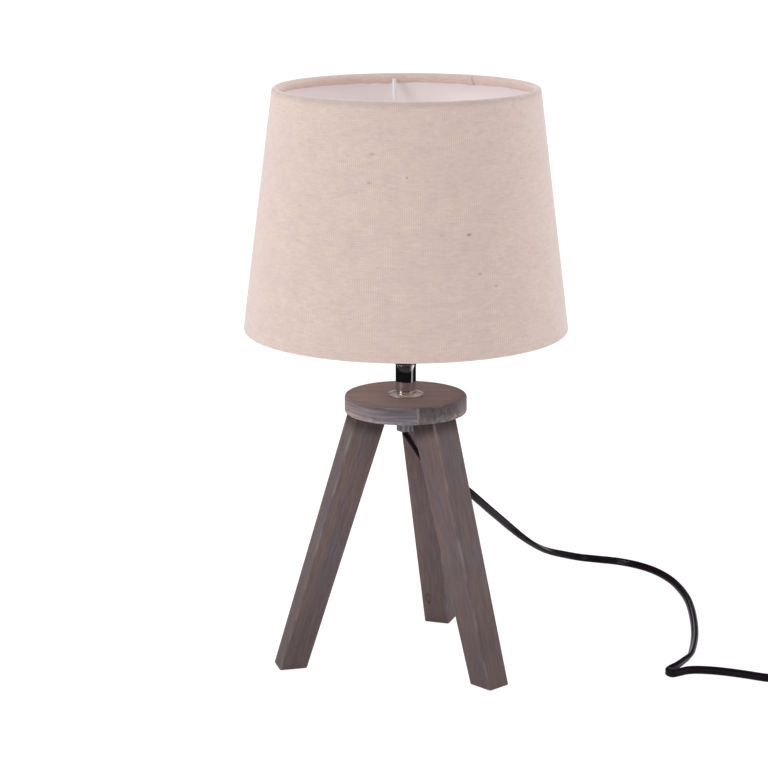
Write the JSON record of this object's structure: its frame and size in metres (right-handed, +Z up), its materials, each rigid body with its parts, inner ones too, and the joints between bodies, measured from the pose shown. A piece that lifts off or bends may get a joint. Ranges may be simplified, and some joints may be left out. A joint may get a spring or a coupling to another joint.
{
  "type": "tripod table lamp",
  "caption": "Table lamp with a tapered linen shade on a round wooden top, splayed square legs, a screw lampholder, and a cord with inline switch and two-pin plug.",
  "frame": {"origin": "on the floor under the lamp's stem, the bottom centre of the lamp without its cord", "axes": "+Z up along the stem; +X to the right and +Y away from the viewer of the picture"},
  "size_m": [0.4946, 0.333, 0.4013],
  "materials": {
    "grey_washed_wood": "satin, grey wash",
    "dark_rubber": "matt",
    "zinc_steel": "zinc plated",
    "brass": "plain",
    "beech": "plain",
    "die_cast_grip": "matt",
    "chrome": "polished",
    "white_plastic": "satin",
    "holder_plastic": "satin",
    "lead_insulation": "satin",
    "nickel": "plated",
    "black_glass": "gloss",
    "opal_plastic": "opal",
    "board": "matt",
    "linen": "matt, woven",
    "liner_styrene": "satin",
    "white_wire": "gloss",
    "black_pvc": "gloss",
    "black_strap": "matt",
    "black_switch": "satin",
    "black_plug": "satin"
  },
  "bodies": {
    "stand": {"top_disc": "grey_washed_wood", "leg_rear": "grey_washed_wood", "leg_left": "grey_washed_wood", "leg_right": "grey_washed_wood", "foot_pad_rear": "dark_rubber", "foot_pad_left": "dark_rubber", "foot_pad_right": "dark_rubber", "leg_bolts": "zinc_steel", "leg_inserts": "brass", "leg_dowels": "beech", "bottom_washer": "zinc_steel", "hex_nut": "zinc_steel", "cord_grip": "die_cast_grip", "threaded_rod": "zinc_steel", "stem_flange": "chrome", "stem_tube": "chrome", "stem_collar": "chrome", "holder_base": "holder_plastic", "holder_body": "holder_plastic", "contact_carrier": "white_plastic", "centre_contact": "brass", "side_contacts": "brass", "terminals": "brass", "terminal_screws": "zinc_steel", "lamp_leads": "lead_insulation", "cord_inner": "black_pvc", "cord_run": "black_pvc", "cord_link": "black_pvc", "cord_coil": "black_pvc", "cord_tail": "black_pvc", "coil_tie": "black_strap", "switch_bottom": "black_switch", "switch_top": "black_switch", "switch_terminals": "brass", "switch_screws": "zinc_steel", "plug_body": "black_plug", "plug_pins": "nickel", "plug_sleeves": "black_plug"},
    "shade": {"shade_fabric": "linen", "shade_liner": "liner_styrene", "shade_top_ring": "white_wire", "shade_bottom_ring": "white_wire", "shade_arm_back": "white_wire", "shade_arm_left": "white_wire", "shade_arm_right": "white_wire", "fitter_ring": "white_wire"},
    "shade_ring": {"shade_ring": "white_plastic"},
    "bulb": {"bulb_cap": "nickel", "bulb_insulator": "black_glass", "bulb_contact": "nickel", "bulb_neck": "opal_plastic", "led_board": "board", "bulb_globe": "opal_plastic"},
    "rocker": {"switch_rocker": "black_switch"}
  },
  "joints": [
    {"name": "shade_swivel", "type": "hinge", "parent": "stand", "child": "shade", "pos_m": [0, 0, 0.262], "axis": [0, 0, 1], "continuous": true},
    {"name": "shade_ring_turn", "type": "hinge", "parent": "stand", "child": "shade_ring", "pos_m": [0, 0, 0.2667], "axis": [0, 0, 1], "continuous": true},
    {"name": "bulb_lift", "type": "slide", "parent": "stand", "child": "bulb", "axis": [0, 0, 1], "range_m": [0, 0.16]},
    {"name": "rocker_tilt", "type": "hinge", "parent": "stand", "child": "rocker", "pos_m": [0.305, -0.056, 0.01225], "axis": [0, 1, 0], "range_deg": [0, 18]}
  ]
}
